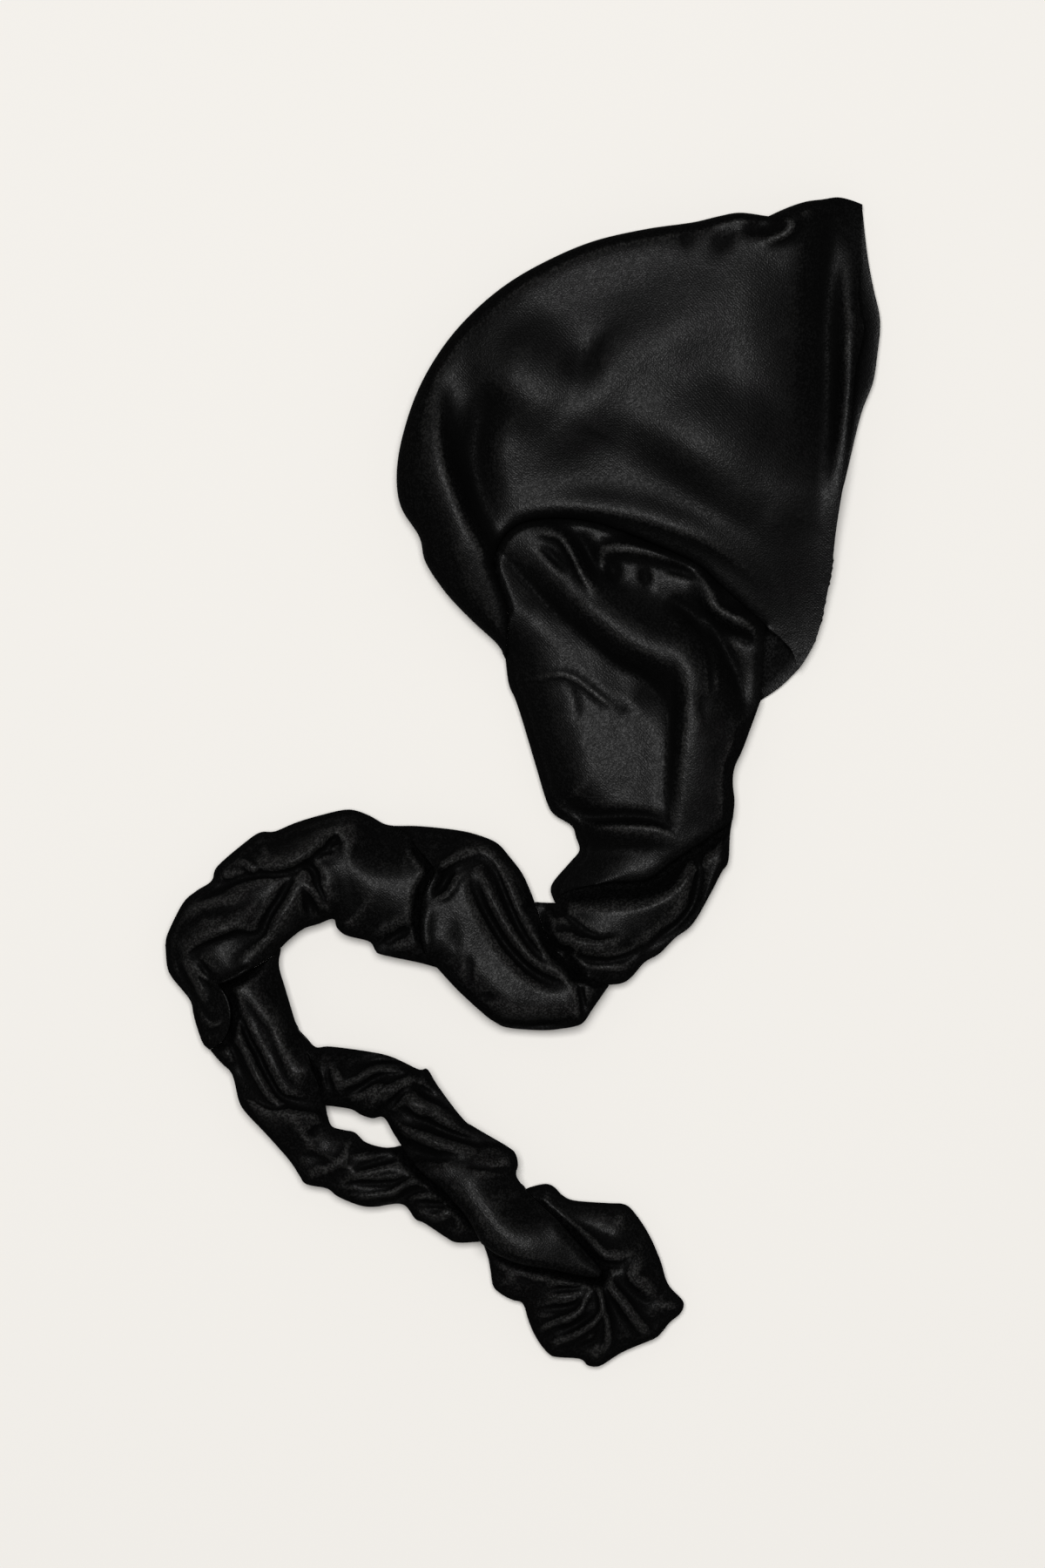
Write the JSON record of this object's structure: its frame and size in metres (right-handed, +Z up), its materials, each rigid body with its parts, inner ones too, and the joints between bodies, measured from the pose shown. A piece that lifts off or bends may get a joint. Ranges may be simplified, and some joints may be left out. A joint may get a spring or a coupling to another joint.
{
  "type": "turban headwrap",
  "caption": "Black velvet hooded turban laid flat on its side, hollow for the head, with a long twisted tail that loops back and ends in a gathered fan.",
  "frame": {"origin": "middle of the footprint, on the surface that the headwrap lies on", "axes": "+Z up from that surface, +X towards the face opening, +Y towards the crown, with the tail towards -Y"},
  "size_m": [0.41, 0.6732, 0.0459],
  "materials": {
    "velvet": "deep black satin velvet with a soft sheen on its folds"
  },
  "bodies": {
    "root": {"hood_near_side": "velvet", "hood_far_side": "velvet", "tail_neck": "velvet", "tail_turn": "velvet", "tail_twist": "velvet", "tail_bend": "velvet", "tail_drop": "velvet", "tail_return": "velvet", "tail_end": "velvet"}
  },
  "joints": []
}
